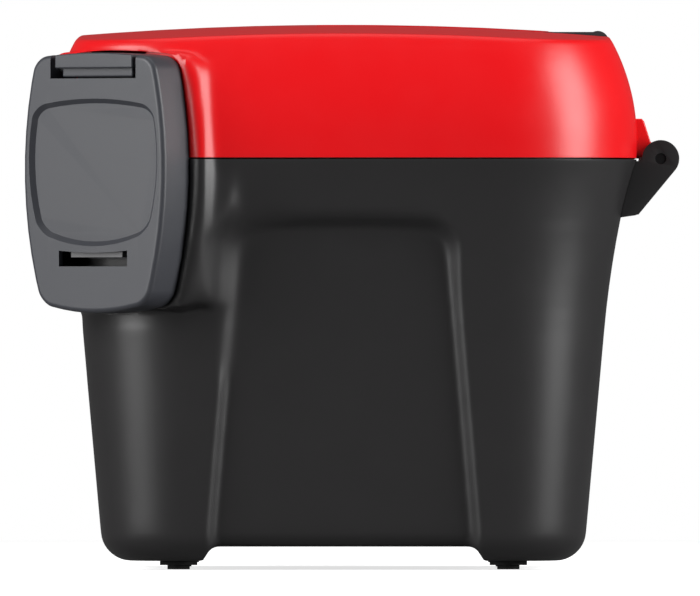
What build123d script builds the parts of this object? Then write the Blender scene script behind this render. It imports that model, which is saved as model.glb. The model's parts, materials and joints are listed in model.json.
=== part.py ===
from build123d import *
import os
from math import atan, cos, degrees, radians, sin, sqrt

# overall form
bin_x = -3.5
corner_x = 70.4
corner_y = 70.4
wall = 2.6
draft = 0.09
seam_gap = 0.7

# heights, from the floor up
nub_h = 1.9
flange_t = 1.9
leg_z = nub_h + flange_t
raised_z = 10.3
flare_z = 107.0
shoulder_z = 156.5
body_top = 183.4
lid_low = body_top + seam_gap
lid_arc_z = 192.5
lid_edge_z = 240.5
lid_top = 244.3
dome_r = 1475.0

# half widths of the body and lid, measured from the corner centres
flare_r = 46.4
shoulder_r = 53.6
rim_r = 61.0
lid_edge_r = 47.5
bottom_fillet = 13.5
lid_edge_fillet = 3.0

# side panels
panel_set = 4.5
panel_top = 152.5
panel_side_top = 151.1
panel_in_top = 25.2
panel_in_low = 13.1
panel_corner = 10.0
panel_fillet = 8.0
leg_in = 8.7
panel_foot_z = -14.0
leg_fillet = 5.9

# rubber feet
foot_out = 3.4
foot_flange_r = 8.4
foot_nub_r = 5.0
foot_stem_r = 3.0
foot_barb_r = 3.8
foot_hole_r = 3.1
barb_h = 2.0
barb_taper = 25
foot_x = corner_x + foot_out
foot_y = corner_y + foot_out
foot_places = [(x, y) for x in (-foot_x, foot_x) for y in (-foot_y, foot_y)]

# corner latches: their own frame is (across, up) at a reach from the corner centre
latch_turn = 40.0
pad_n = 45.6
latch_back = 46.5
latch_face = 64.35
latch_wall = 2.4
latch_skin = 2.6
latch_round = 2.2
latch_top = 231.1
latch_top_side = 228.8
latch_half_top = 34.6
latch_half_mid = 41.3
latch_mid_z = 177.0
latch_half_low = 31.5
latch_low_side = 118.9
latch_low = 114.65
latch_corner = 6.0
pocket_gap = 0.9
boss_run = 15.0
boss_top_grow = 2.0
boss_grow = 15.0

# latch pin, keeper and notch
pin_n = 56.8
pin_z = 224.3
pin_r = 1.75
pin_half = 33.0
fixed_fit = 0.01
running_fit = 0.05
ear_r = 10.2
notch_half = 25.0
notch_z = 219.4
notch_back_z = 217.2
solid_top_z = 216.0
keeper_half = 22.7
keeper_bar_r = 8.0
keeper_bar_low = 0.6
keeper_bar_top = 9.0
keeper_front = 7.5
knuckle_r = 4.3
knuckle_half = 20.4
keeper_plate_t = 2.5
keeper_low = 208.0

# latch face details
emblem_half_top = 37.0
emblem_half_low = 33.5
emblem_top = 211.0
emblem_low = 144.4
emblem_deep = 1.6
emblem_shallow = 0.4
slot_half = 20.0
slot_low = 135.5
slot_high = 141.6

# hook and catch
catch_half = 18.0
catch_low = 139.0
catch_high = 160.0
catch_t = 2.0
nose_low = 144.0
nose_high = 149.0
nose_out = 53.0
lip_t = 1.5
lip_drop = 0.8
hook_half = 15.0
hook_tip = 49.0
hook_low = 139.6
hook_high = 142.8
bead_t = 1.7
bead_top = 143.6
hook_plate_t = 2.0
hook_plate_high = 158.0

# screws
screw_r = 1.5
screw_head_r = 3.0
screw_head_t = 1.6
screw_long = 9.0
screw_hole_r = 1.55
screw_back = 2.0
catch_screw_at = ((-11, 155), (11, 155))
keeper_screw_at = ((-14, 211), (14, 211))
bracket_screw_z = (165.0, 175.0)
shoulder_lean = 0.26

# back hinges
hinge_x = corner_x + rim_r + 10.6
hinge_z = 183.8
hinge_y = corner_y - 6.4
barrel_r = 8.3
ear_t = 6.0
lug_half = 6.0
side_gap = 0.4
hinge_pin_r = 2.5
bracket_half = lug_half + side_gap + ear_t
bracket_low_x = hinge_x - 9.9
bracket_low_z = 158.8
bracket_foot_x = hinge_x - 19.6
bracket_foot_z = 157.4
lug_top = 201.7
lug_top_x = hinge_x - 7.0
lug_low_x = hinge_x - 4.3
lug_low_z = 190.9
lug_clear_r = barrel_r + 0.6

# rim frame, liner bucket and bag ring
frame_z = 179.8
frame_t = 2.6
ledge_r = 54.0
ledge_t = 2.8
opening_r = 36.0
rim_lean = 0.35
liner_top_r = 35.2
liner_low_r = 28.1
liner_low_z = 14.5
liner_wall = 1.8
liner_fillet = 12.0
liner_flange_r = 40.4
liner_flange_t = 1.8
ring_deep = 12.0
ring_r = 32.7
ring_wall = 2.4
ring_lip_r = 36.3
ring_lip_t = 1.5
part_gap = 0.3

# lid panel, seal and filter
seal_in_r = 37.2
seal_out_r = 39.8
seal_stem_t = 1.0
seal_stem_w = 0.6
seal_mid_r = (seal_in_r + seal_out_r) / 2
seal_stem = (seal_mid_r - seal_stem_w, seal_mid_r + seal_stem_w)
panel_z = 187.3
panel_t = 2.2
post_r = 4.5
post_front = corner_x + 21.6
post_back = corner_x + 13.6
post_side = corner_y + 1.6
post_places = [(x, y) for x in (0.0, post_back) for y in (-post_side, post_side)]
post_places += [(-post_front, -40.0), (-post_front, 40.0)]
filter_cup_r = 42.5
filter_hole_r = 40.4
filter_top = 208.0
filter_r = 39.6
filter_low = 191.2
grille_flange_r = 45.0
grille_slots = 9
grille_slot_w = 3.0
vent_r = 2.0
vent_rows = (12.0, 24.0)

# carrying handle, folded back into the lid
handle_z = 236.3
grip_x = corner_x + 43.7
grip_r = 4.95
grip_room = 3.5
core_r = 3.0
arm_w = 9.0
arm_y = 48.0
arm_half_h = 4.4
channel_half_w = 7.0
channel_front = -12.0
channel_z = 229.5
finger_x = grip_x - 22.1
finger_half = 36.0
finger_z = 221.0
handle_pin_r = 2.5
handle_pin_half = 11.0

up = Vector(0, 0, 1)
centre = Vector(bin_x, 0, 0)
frame_top = frame_z + frame_t
liner_flange_z = frame_top
liner_top = liner_flange_z + liner_flange_t
seal_low = liner_top + part_gap
cavity_face = latch_face - latch_skin


def side_plane(turn, out_by=0.0, across=0.0):
    out = Vector(1, 0, 0).rotate(Axis.Z, 90 * turn)
    along = Vector(0, 1, 0).rotate(Axis.Z, 90 * turn)
    return Plane(origin=centre + out * out_by + along * across, x_dir=out, z_dir=out.cross(up))


def tub(profile, low, high, mode=Mode.ADD):
    # the profile runs round a rectangle whose corners are the corner centres
    for turn in range(4):
        reach, half = (corner_x, corner_y) if turn % 2 == 0 else (corner_y, corner_x)
        with BuildSketch(side_plane(turn, reach)) as band:
            add(profile)
        extrude(band.sketch, amount=half, both=True, mode=mode)
        corner = side_plane(turn, reach, half)
        with BuildSketch(corner) as quarter:
            add(profile)
        revolve(quarter.sketch, axis=Axis(corner.origin, up), revolution_arc=90, mode=mode)
    with Locations((bin_x, 0, (low + high) / 2)):
        Box(2 * corner_x, 2 * corner_y, high - low, mode=mode)


def bowl(drop):
    # everything under the lid's crown
    rim = 210.0
    sag = dome_r - sqrt(dome_r**2 - rim**2)
    with BuildSketch(side_plane(0)) as under:
        with BuildLine():
            Line((rim, lid_top - drop - sag), (rim, lid_low - 60))
            Line((rim, lid_low - 60), (0, lid_low - 60))
            Line((0, lid_low - 60), (0, lid_top - drop))
            RadiusArc((0, lid_top - drop), (rim, lid_top - drop - sag), dome_r)
        make_face()
    revolve(under.sketch, axis=Axis(centre, up), revolution_arc=360, mode=Mode.INTERSECT)


def latch_frame(side):
    out = Vector(-sin(radians(latch_turn)), side * cos(radians(latch_turn)), 0)
    return centre + Vector(-corner_x, side * corner_y, 0), out, up.cross(out)


def latch_plane(side, reach, tilt=0.0, at_z=0.0):
    pivot, out, across = latch_frame(side)
    leaned = out.rotate(Axis((0, 0, 0), across), tilt)
    return Plane(origin=pivot + out * reach + up * at_z, x_dir=across, z_dir=leaned)


def latch_section(side, shift=0.0):
    pivot, out, across = latch_frame(side)
    return Plane(origin=pivot + across * shift, x_dir=out, z_dir=out.cross(up))


def latch_outline(plane, grow=0.0, grow_top=None, cut_above=None):
    top = grow if grow_top is None else grow_top
    with BuildSketch(plane) as outline:
        with BuildLine():
            high = (latch_half_top + grow, latch_top_side + top)
            low = (latch_half_low + grow, latch_low_side - grow)
            side_mid = latch_half_mid + grow
            ThreePointArc((-high[0], high[1]), (0, latch_top + top), high)
            ThreePointArc(high, (side_mid, latch_mid_z), low)
            ThreePointArc(low, (0, latch_low - grow), (-low[0], low[1]))
            ThreePointArc((-low[0], low[1]), (-side_mid, latch_mid_z), (-high[0], high[1]))
        make_face()
        fillet(outline.vertices(), latch_corner + grow)
        if cut_above:
            with Locations((0, (cut_above + latch_top + 5) / 2)):
                Rectangle(4 * latch_half_mid, latch_top + 5 - cut_above, mode=Mode.SUBTRACT)
    return outline.sketch


def latch_boss(side):
    near = latch_outline(latch_plane(side, pad_n), pocket_gap)
    far = latch_outline(latch_plane(side, pad_n - boss_run), boss_grow, boss_top_grow)
    loft([far, near], ruled=True)


def latch_pocket(side, grow=pocket_gap, at_n=pad_n):
    extrude(latch_outline(latch_plane(side, at_n), grow), amount=60, mode=Mode.SUBTRACT)


def pad_keep(side, mode=Mode.SUBTRACT):
    extrude(latch_outline(latch_plane(side, pad_n - wall), pocket_gap + wall), amount=60, mode=mode)


def latch_screws(plane, places, mode=Mode.ADD, hole=False):
    for place in places:
        with BuildSketch(plane) as shank:
            with Locations(place):
                Circle(screw_hole_r if hole else screw_r)
        extrude(shank.sketch, amount=-screw_long, mode=mode)
        if hole:
            extrude(shank.sketch, amount=screw_long, mode=mode)
        else:
            with BuildSketch(plane) as head:
                with Locations(place):
                    Circle(screw_head_r)
            extrude(head.sketch, amount=screw_head_t, mode=mode)


def panel_cutter(turn, inset=0.0):
    # the recess floor follows the lower wall's draft, and its walls lean outwards
    reach, half = (corner_x, corner_y) if turn % 2 == 0 else (corner_y, corner_x)
    half_top = half - panel_in_top
    half_low = half - panel_in_low
    half_w = reach + flare_r - panel_set - inset
    out = Vector(1, 0, 0).rotate(Axis.Z, 90 * turn)
    across = up.cross(out)
    normal = (out - up * draft).normalized()
    floor = Plane(origin=centre + out * half_w + up * flare_z, x_dir=across, z_dir=normal)
    rise = sqrt(1 + draft**2)
    spread = 30.0
    widening = (half_low - half_top) / (panel_side_top - raised_z)
    half_foot = half_low + widening * (raised_z - panel_foot_z)
    shapes = []
    for depth in (0.0, spread):
        grow = inset + depth
        low = (panel_foot_z - flare_z) * rise
        top = (panel_top - flare_z) * rise + grow
        side_top = (panel_side_top - flare_z) * rise + grow
        with BuildSketch(floor.offset(depth)) as shape:
            with BuildLine():
                high = (half_top + grow, side_top)
                foot = (half_foot + grow, low)
                ThreePointArc((-high[0], high[1]), (0, top), high)
                Polyline(high, foot, (-foot[0], foot[1]), (-high[0], high[1]))
            make_face()
            fillet(shape.vertices().sort_by(Axis.Y)[-2:], panel_corner + grow)
        shapes.append(shape.sketch)
    loft(shapes, ruled=True, mode=Mode.SUBTRACT)


def channels(grow=0.0):
    # the floor is raised between the legs, along both axes
    for turn, half in enumerate((corner_x - leg_in, corner_y - leg_in)):
        with BuildSketch(side_plane(turn)) as section:
            with Locations((0, (raised_z + grow) / 2 - 20)):
                Rectangle(2 * (half + grow), raised_z + grow + 40)
            fillet(section.vertices().sort_by(Axis.Y)[-2:], leg_fillet + grow)
        extrude(section.sketch, amount=200, both=True, mode=Mode.SUBTRACT)


def panel_foot(turn, inset=0.0):
    # rounds the recess floor under into the raised floor
    reach, half = (corner_x, corner_y) if turn % 2 == 0 else (corner_y, corner_x)
    eye_z = raised_z + panel_fillet
    eye = reach + flare_r - panel_set - draft * (flare_z - eye_z) - panel_fillet * sqrt(1 + draft**2)
    with BuildSketch(side_plane(turn)) as bead:
        with Locations((eye + panel_fillet / 2 + 3, eye_z - panel_fillet / 2 - 3)):
            Rectangle(panel_fillet + 6, panel_fillet + 6)
        with Locations((eye, eye_z)):
            Circle(panel_fillet - inset, mode=Mode.SUBTRACT)
    extrude(bead.sketch, amount=half - panel_in_low + inset, both=True, mode=Mode.SUBTRACT)


def ring(in_r, out_r, low, high, mode=Mode.ADD):
    # a flat frame that follows the bin's plan
    with BuildSketch(Plane((bin_x, 0, low))) as plan:
        RectangleRounded(2 * (corner_x + out_r), 2 * (corner_y + out_r), out_r)
        RectangleRounded(2 * (corner_x + in_r), 2 * (corner_y + in_r), in_r, mode=Mode.SUBTRACT)
    extrude(plan.sketch, amount=high - low, mode=mode)


def plate(out_r, low, high, mode=Mode.ADD):
    with BuildSketch(Plane((bin_x, 0, low))) as plan:
        RectangleRounded(2 * (corner_x + out_r), 2 * (corner_y + out_r), out_r)
    extrude(plan.sketch, amount=high - low, mode=mode)


def rods(places, radius, low, high, mode=Mode.ADD):
    with BuildSketch(Plane((bin_x, 0, low))) as ends:
        with Locations(*places):
            Circle(radius)
    extrude(ends.sketch, amount=high - low, mode=mode)


def slab(x_span, y_span, z_span, mode=Mode.ADD):
    # a block between two corners, x counted from the bin's centre
    size = [span[1] - span[0] for span in (x_span, y_span, z_span)]
    middle = [(span[1] + span[0]) / 2 for span in (x_span, y_span, z_span)]
    with Locations((bin_x + middle[0], middle[1], middle[2])):
        Box(*size, mode=mode)


def hinge_rod(side, radius, half_length, mode=Mode.ADD):
    # a rod along one back hinge's axis
    with BuildSketch(side_plane(0, 0, side * hinge_y)) as end:
        with Locations((hinge_x, hinge_z)):
            Circle(radius)
    extrude(end.sketch, amount=half_length, both=True, mode=mode)


def bracket_screws(side, hole=False, mode=Mode.ADD):
    # they run in from inside the body, along X
    for z in bracket_screw_z:
        inside = corner_x + shoulder_r - wall + (z - shoulder_z) * shoulder_lean
        face = Plane(origin=(bin_x + inside, side * hinge_y, z), x_dir=(0, 1, 0), z_dir=(1, 0, 0))
        with BuildSketch(face) as shank:
            Circle(screw_hole_r if hole else screw_r)
        extrude(shank.sketch, amount=screw_long, mode=mode)
        if hole:
            extrude(shank.sketch, amount=-screw_long, mode=mode)
        else:
            with BuildSketch(face.offset(-screw_back)) as head:
                Circle(screw_head_r)
            extrude(head.sketch, amount=-screw_head_t, mode=mode)
            with BuildSketch(face) as neck:
                Circle(screw_r)
            extrude(neck.sketch, amount=-screw_back, mode=mode)


def handle_channel(grow, mode=Mode.SUBTRACT):
    # two slots for the arms and an open notch for the grip, with room for fingers under it
    low = channel_z - grow
    for side in (-1, 1):
        slot = sorted((side * (arm_y - channel_half_w - grow), side * (arm_y + channel_half_w + grow)))
        slab((channel_front - grow, grip_x + 60), slot, (low, lid_top + 10), mode=mode)
    notch = arm_y + channel_half_w + grow
    slab((grip_x - grip_r - grip_room - grow, grip_x + 60), (-notch, notch), (low, lid_top + 10), mode=mode)
    reach = finger_half + grow
    slab((finger_x - grow, grip_x + 60), (-reach, reach), (finger_z - grow, lid_top + 10), mode=mode)


def handle_rod(side, radius, half_length, mode=Mode.ADD):
    with BuildSketch(side_plane(0, 0, side * arm_y)) as end:
        with Locations((0, handle_z)):
            Circle(radius)
    extrude(end.sketch, amount=half_length, both=True, mode=mode)


def lid_lug(side):
    # runs from the lid's back wall down into the knuckle between the bracket's ears
    with BuildSketch(side_plane(0, 0, side * hinge_y)) as web:
        with Locations((hinge_x, hinge_z)):
            Circle(barrel_r)
        with BuildLine():
            Polyline(
                (corner_x + rim_r - 1.0, lid_low),
                (hinge_x - barrel_r * cos(radians(5)), hinge_z + barrel_r * sin(radians(5))),
                (hinge_x + barrel_r * cos(radians(60)), hinge_z + barrel_r * sin(radians(60))),
                (lug_low_x, lug_low_z),
                (lug_top_x, lug_top - 1.5),
                (lug_top_x - 1.5, lug_top),
                (corner_x + rim_r - 2.0, lug_top),
                close=True,
            )
        make_face()
    extrude(web.sketch, amount=lug_half, both=True)
    hinge_rod(side, hinge_pin_r + running_fit, lug_half + 1, mode=Mode.SUBTRACT)


# profiles, each from a corner centre outwards
with BuildSketch() as body_profile:
    with BuildLine():
        low_r = flare_r - draft * (flare_z - leg_z)
        Line((0, leg_z), (low_r, leg_z))
        Line((low_r, leg_z), (flare_r, flare_z))
        flare = TangentArc((flare_r, flare_z), (shoulder_r, shoulder_z), tangent=(draft, 1))
        TangentArc((shoulder_r, shoulder_z), (rim_r, body_top), tangent=flare % 1)
        Line((rim_r, body_top), (0, body_top))
        Line((0, body_top), (0, leg_z))
    make_face()
    fillet(body_profile.vertices().sort_by_distance((low_r, leg_z))[0], bottom_fillet)

with BuildSketch() as cavity_profile:
    with BuildLine():
        floor_in_z = leg_z + wall
        in_low_r = flare_r - wall - draft * (flare_z - floor_in_z)
        Line((0, floor_in_z), (in_low_r, floor_in_z))
        Line((in_low_r, floor_in_z), (flare_r - wall, flare_z))
        in_flare = TangentArc((flare_r - wall, flare_z), (shoulder_r - wall, shoulder_z), tangent=(draft, 1))
        TangentArc((shoulder_r - wall, shoulder_z), (rim_r - wall, body_top), tangent=in_flare % 1)
        Line((rim_r - wall, body_top), (rim_r - wall, body_top + 1))
        Line((rim_r - wall, body_top + 1), (0, body_top + 1))
        Line((0, body_top + 1), (0, floor_in_z))
    make_face()
    fillet(cavity_profile.vertices().sort_by_distance((in_low_r, floor_in_z))[0], bottom_fillet - wall)

with BuildSketch() as lid_profile:
    with BuildLine():
        Line((0, lid_low), (rim_r, lid_low))
        Line((rim_r, lid_low), (rim_r, lid_arc_z))
        TangentArc((rim_r, lid_arc_z), (lid_edge_r, lid_edge_z), tangent=(0, 1))
        Line((lid_edge_r, lid_edge_z), (lid_edge_r, lid_top + 2))
        Line((lid_edge_r, lid_top + 2), (0, lid_top + 2))
        Line((0, lid_top + 2), (0, lid_low))
    make_face()

with BuildSketch() as lid_cavity_profile:
    with BuildLine():
        Line((0, lid_low - 1), (rim_r - wall, lid_low - 1))
        Line((rim_r - wall, lid_low - 1), (rim_r - wall, lid_arc_z))
        TangentArc((rim_r - wall, lid_arc_z), (lid_edge_r - wall, lid_edge_z), tangent=(0, 1))
        Line((lid_edge_r - wall, lid_edge_z), (lid_edge_r - wall, lid_top + 2))
        Line((lid_edge_r - wall, lid_top + 2), (0, lid_top + 2))
        Line((0, lid_top + 2), (0, lid_low - 1))
    make_face()

with BuildSketch() as frame_profile:
    with BuildLine():
        frame_low_r = rim_r - wall - rim_lean * (body_top - frame_z) - part_gap
        frame_high_r = rim_r - wall - rim_lean * (body_top - frame_top) - part_gap
        Polyline((0, frame_z), (frame_low_r, frame_z), (frame_high_r, frame_top), (0, frame_top), close=True)
    make_face()

with BuildSketch() as liner_profile:
    with BuildLine():
        corners = ((0, liner_low_z), (liner_low_r, liner_low_z), (liner_top_r, liner_top), (0, liner_top))
        Polyline(*corners, close=True)
    make_face()
    fillet(liner_profile.vertices().sort_by_distance((liner_low_r, liner_low_z))[0], liner_fillet)

with BuildSketch() as liner_hollow:
    with BuildLine():
        inside_low = (liner_low_r - liner_wall, liner_low_z + liner_wall)
        inside_top = (liner_top_r - liner_wall, liner_top)
        Polyline((0, inside_low[1]), inside_low, inside_top, (0, liner_top), close=True)
    make_face()
    fillet(liner_hollow.vertices().sort_by_distance(inside_low)[0], liner_fillet - liner_wall)

with BuildPart() as body_solid:
    tub(body_profile.sketch, leg_z, body_top)

# bin body: one moulding with recessed panels, four legs and two flat pads for the latches
with BuildPart() as body_cavity:
    tub(cavity_profile.sketch, leg_z + wall, body_top + 1)
    for turn in range(4):
        panel_cutter(turn, wall)
        panel_foot(turn, wall)
    channels(wall)
    for side in (-1, 1):
        pad_keep(side)
    ring(ledge_r, rim_r + 10, frame_z - ledge_t, frame_z, mode=Mode.SUBTRACT)

with BuildPart() as bin_body:
    add(body_solid.part)
    for side in (-1, 1):
        latch_boss(side)
    for turn in range(4):
        panel_cutter(turn)
        panel_foot(turn)
    channels()
    with Locations((bin_x, 0, body_top + 100)):
        Box(600, 600, 200, mode=Mode.SUBTRACT)
    add(body_cavity.part, mode=Mode.SUBTRACT)
    for side in (-1, 1):
        latch_pocket(side)
        latch_screws(latch_plane(side, pad_n + catch_t), catch_screw_at, Mode.SUBTRACT, hole=True)
        bracket_screws(side, hole=True, mode=Mode.SUBTRACT)
    rods(foot_places, foot_hole_r, leg_z - 1, leg_z + wall + 1, mode=Mode.SUBTRACT)

# rubber feet, pushed into the legs
with BuildPart() as feet:
    rods(foot_places, foot_nub_r, 0, nub_h)
    rods(foot_places, foot_flange_r, nub_h, leg_z)
    rods(foot_places, foot_stem_r, leg_z, leg_z + wall + part_gap)
    for place in foot_places:
        with BuildSketch(Plane((bin_x, 0, leg_z + wall + part_gap))) as barb:
            with Locations(place):
                Circle(foot_barb_r)
        extrude(barb.sketch, amount=barb_h, taper=barb_taper)

# rim frame: carries the liner and closes the gap to the wall
with BuildPart() as rim_frame:
    tub(frame_profile.sketch, frame_z, frame_top)
    for side in (-1, 1):
        latch_pocket(side, pocket_gap + wall + part_gap, pad_n - wall - part_gap)
    plate(opening_r, frame_z - 1, frame_top + 1, mode=Mode.SUBTRACT)

# liner bucket, hanging by its flange
with BuildPart() as liner_bucket:
    tub(liner_profile.sketch, liner_low_z, liner_top)
    ring(liner_top_r - 1.0, liner_flange_r, liner_flange_z, liner_top)
    tub(liner_hollow.sketch, liner_low_z + liner_wall, liner_top, mode=Mode.SUBTRACT)

# ring that pinches the bag over the liner's mouth
with BuildPart() as bag_ring:
    ring(ring_r - ring_wall, ring_lip_r, liner_top, liner_top + ring_lip_t)
    ring(ring_r - ring_wall, ring_r, liner_top - ring_deep, liner_top)


def hinge_bracket(side):
    # two ears round the lid's lug, joined by a base on the body's back wall
    with BuildSketch(side_plane(0, 0, side * hinge_y)) as cheek:
        with Locations((hinge_x, hinge_z)):
            Circle(barrel_r)
        with BuildLine():
            Polyline(
                (hinge_x - barrel_r * cos(radians(10)), hinge_z + barrel_r * sin(radians(10))),
                (hinge_x + barrel_r * cos(radians(40)), hinge_z - barrel_r * sin(radians(40))),
                (bracket_low_x, bracket_low_z),
                (bracket_foot_x, bracket_foot_z),
                (corner_x + shoulder_r - 2.0, shoulder_z + 6.0),
                (corner_x + rim_r - 8.0, body_top - seam_gap),
                (hinge_x - lug_clear_r, body_top - seam_gap),
                close=True,
            )
        make_face()
    extrude(cheek.sketch, amount=bracket_half, both=True)
    hinge_rod(side, lug_clear_r, lug_half + side_gap, mode=Mode.SUBTRACT)
    slab(
        (corner_x + rim_r - 1.0, hinge_x + 2 * barrel_r),
        (side * hinge_y - lug_half - side_gap, side * hinge_y + lug_half + side_gap),
        (hinge_z - 2.0, hinge_z + 2 * barrel_r),
        mode=Mode.SUBTRACT,
    )
    hinge_rod(side, hinge_pin_r + fixed_fit, bracket_half + 1, mode=Mode.SUBTRACT)
    add(body_solid.part, mode=Mode.SUBTRACT)
    bracket_screws(side, hole=True, mode=Mode.SUBTRACT)


def hinge_pin(side):
    hinge_rod(side, hinge_pin_r, bracket_half - 0.5)


with BuildPart() as hinge_bracket_near:
    hinge_bracket(-1)
with BuildPart() as hinge_bracket_far:
    hinge_bracket(1)
with BuildPart() as hinge_pin_near:
    hinge_pin(-1)
with BuildPart() as hinge_pin_far:
    hinge_pin(1)
with BuildPart() as hinge_screws:
    for side in (-1, 1):
        bracket_screws(side)


def catch_plate(side):
    with BuildSketch(latch_plane(side, pad_n)) as base:
        with Locations((0, (catch_low + catch_high) / 2)):
            RectangleRounded(2 * catch_half, catch_high - catch_low, 3)
    extrude(base.sketch, amount=catch_t)
    with BuildSketch(latch_section(side)) as nose:
        with BuildLine():
            Polyline(
                (pad_n + catch_t, nose_low),
                (nose_out - lip_t, nose_low),
                (nose_out - lip_t, nose_low - lip_drop),
                (nose_out, nose_low - lip_drop),
                (nose_out, nose_high - 2),
                (pad_n + catch_t, nose_high),
                close=True,
            )
        make_face()
    extrude(nose.sketch, amount=catch_half - 2, both=True)
    latch_screws(latch_plane(side, pad_n + catch_t), catch_screw_at, Mode.SUBTRACT, hole=True)


with BuildPart() as catch_near:
    catch_plate(-1)
with BuildPart() as catch_far:
    catch_plate(1)
with BuildPart() as catch_screws:
    for side in (-1, 1):
        latch_screws(latch_plane(side, pad_n + catch_t), catch_screw_at)

# lid shell, with lugs for the back hinges, flat pads for the latches and a channel for the handle
with BuildPart() as lid_cavity:
    tub(lid_cavity_profile.sketch, lid_low - 1, lid_top + 2)
    bowl(wall)
    for side in (-1, 1):
        pad_keep(side)
    handle_channel(wall)
    rods(post_places, post_r, panel_z + panel_t, lid_top, mode=Mode.SUBTRACT)

with BuildPart() as lid_shell:
    tub(lid_profile.sketch, lid_low, lid_top + 2)
    bowl(0)
    fillet(faces().sort_by(Axis.Z)[-1].edges(), lid_edge_fillet)
    for side in (-1, 1):
        latch_boss(side)
    bowl(0)
    slab((-300, 300), (-300, 300), (0, lid_low), mode=Mode.SUBTRACT)
    add(lid_cavity.part, mode=Mode.SUBTRACT)
    for side in (-1, 1):
        latch_pocket(side)
        latch_screws(latch_plane(side, pad_n + keeper_plate_t), keeper_screw_at, Mode.SUBTRACT, hole=True)
    handle_channel(0)
    for side in (-1, 1):
        handle_rod(side, handle_pin_r + fixed_fit, handle_pin_half + 1, mode=Mode.SUBTRACT)
    for side in (-1, 1):
        lid_lug(side)
    rods(post_places, screw_hole_r, panel_z, panel_z + panel_t + screw_long, mode=Mode.SUBTRACT)

# inner panel of the lid, with the filter's cup standing on it
with BuildPart() as lid_panel:
    plate(rim_r - wall - part_gap, panel_z, panel_z + panel_t)
    for side in (-1, 1):
        latch_pocket(side, pocket_gap + wall + part_gap, pad_n - wall - part_gap)
    rods([(0, 0)], filter_cup_r, panel_z, filter_top)
    rods([(0, 0)], filter_hole_r, panel_z, filter_top - panel_t, mode=Mode.SUBTRACT)
    turns = [radians(60 * n) for n in range(6)]
    vents = [(0, 0)] + [(r * cos(a), r * sin(a)) for r in vent_rows for a in turns]
    rods(vents, vent_r, filter_top - panel_t - 1, filter_top + 1, mode=Mode.SUBTRACT)
    rods(post_places, screw_hole_r, panel_z - 1, panel_z + panel_t + 1, mode=Mode.SUBTRACT)
    ring(*seal_stem, panel_z, panel_z + seal_stem_t, mode=Mode.SUBTRACT)

with BuildPart() as lid_seal:
    ring(seal_in_r, seal_out_r, seal_low, panel_z)
    ring(*seal_stem, panel_z, panel_z + seal_stem_t)

with BuildPart() as lid_screws:
    rods(post_places, screw_head_r, panel_z - screw_head_t, panel_z)
    rods(post_places, screw_r, panel_z, panel_z + screw_long)

with BuildPart() as filter_cartridge:
    rods([(0, 0)], filter_r, filter_low, filter_top - panel_t - part_gap)

with BuildPart() as filter_grille:
    rods([(0, 0)], grille_flange_r, panel_z - ring_lip_t, panel_z)
    rods([(0, 0)], filter_hole_r - fixed_fit, panel_z, panel_z + panel_t)
    for n in range(grille_slots):
        shift = (n - (grille_slots - 1) / 2) * 2.4 * grille_slot_w
        half = sqrt((filter_hole_r - 4) ** 2 - shift**2)
        slab((shift - grille_slot_w / 2, shift + grille_slot_w / 2), (-half, half),
             (panel_z - 3, panel_z + 4), mode=Mode.SUBTRACT)


def latch_keeper(side):
    # knuckle that stands in the lever's notch
    with BuildSketch(latch_plane(side, pad_n)) as base:
        with Locations((0, (keeper_low + pin_z) / 2)):
            Rectangle(2 * keeper_half, pin_z - keeper_low)
    extrude(base.sketch, amount=keeper_plate_t)
    with BuildSketch(latch_section(side)) as web:
        with Locations((pin_n, pin_z)):
            Circle(knuckle_r)
        with Locations(((pad_n + pin_n) / 2, pin_z + 1)):
            Rectangle(pin_n - pad_n, 8)
    extrude(web.sketch, amount=knuckle_half, both=True)
    with BuildSketch(latch_section(side)) as bar:
        with Locations((pin_n, pin_z)):
            Circle(keeper_bar_r)
        span = keeper_bar_top + keeper_bar_low
        with Locations(((pad_n + pin_n + keeper_front) / 2, pin_z - keeper_bar_low + span / 2)):
            Rectangle(pin_n + keeper_front - pad_n, span, mode=Mode.INTERSECT)
        with Locations(((pad_n + pin_n) / 2, pin_z - keeper_bar_low + span / 2)):
            Rectangle(pin_n - pad_n, span)
    extrude(bar.sketch, amount=keeper_half, both=True)
    add(keeper_limit(side), mode=Mode.INTERSECT)
    latch_rod(side, pin_r + fixed_fit, keeper_half + 1, mode=Mode.SUBTRACT)
    latch_screws(latch_plane(side, pad_n + keeper_plate_t), keeper_screw_at, Mode.SUBTRACT, hole=True)


def latch_rod(side, radius, half_length, mode=Mode.ADD):
    with BuildSketch(latch_section(side)) as end:
        with Locations((pin_n, pin_z)):
            Circle(radius)
    extrude(end.sketch, amount=half_length, both=True, mode=mode)


def keeper_limit(side):
    return extrude(latch_outline(latch_plane(side, pad_n)), amount=60, mode=Mode.PRIVATE)


with BuildPart() as keeper_near:
    latch_keeper(-1)
with BuildPart() as keeper_far:
    latch_keeper(1)
with BuildPart() as keeper_screws:
    for side in (-1, 1):
        latch_screws(latch_plane(side, pad_n + keeper_plate_t), keeper_screw_at)
with BuildPart() as latch_pin_near:
    latch_rod(-1, pin_r, pin_half)
with BuildPart() as latch_pin_far:
    latch_rod(1, pin_r, pin_half)


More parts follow.
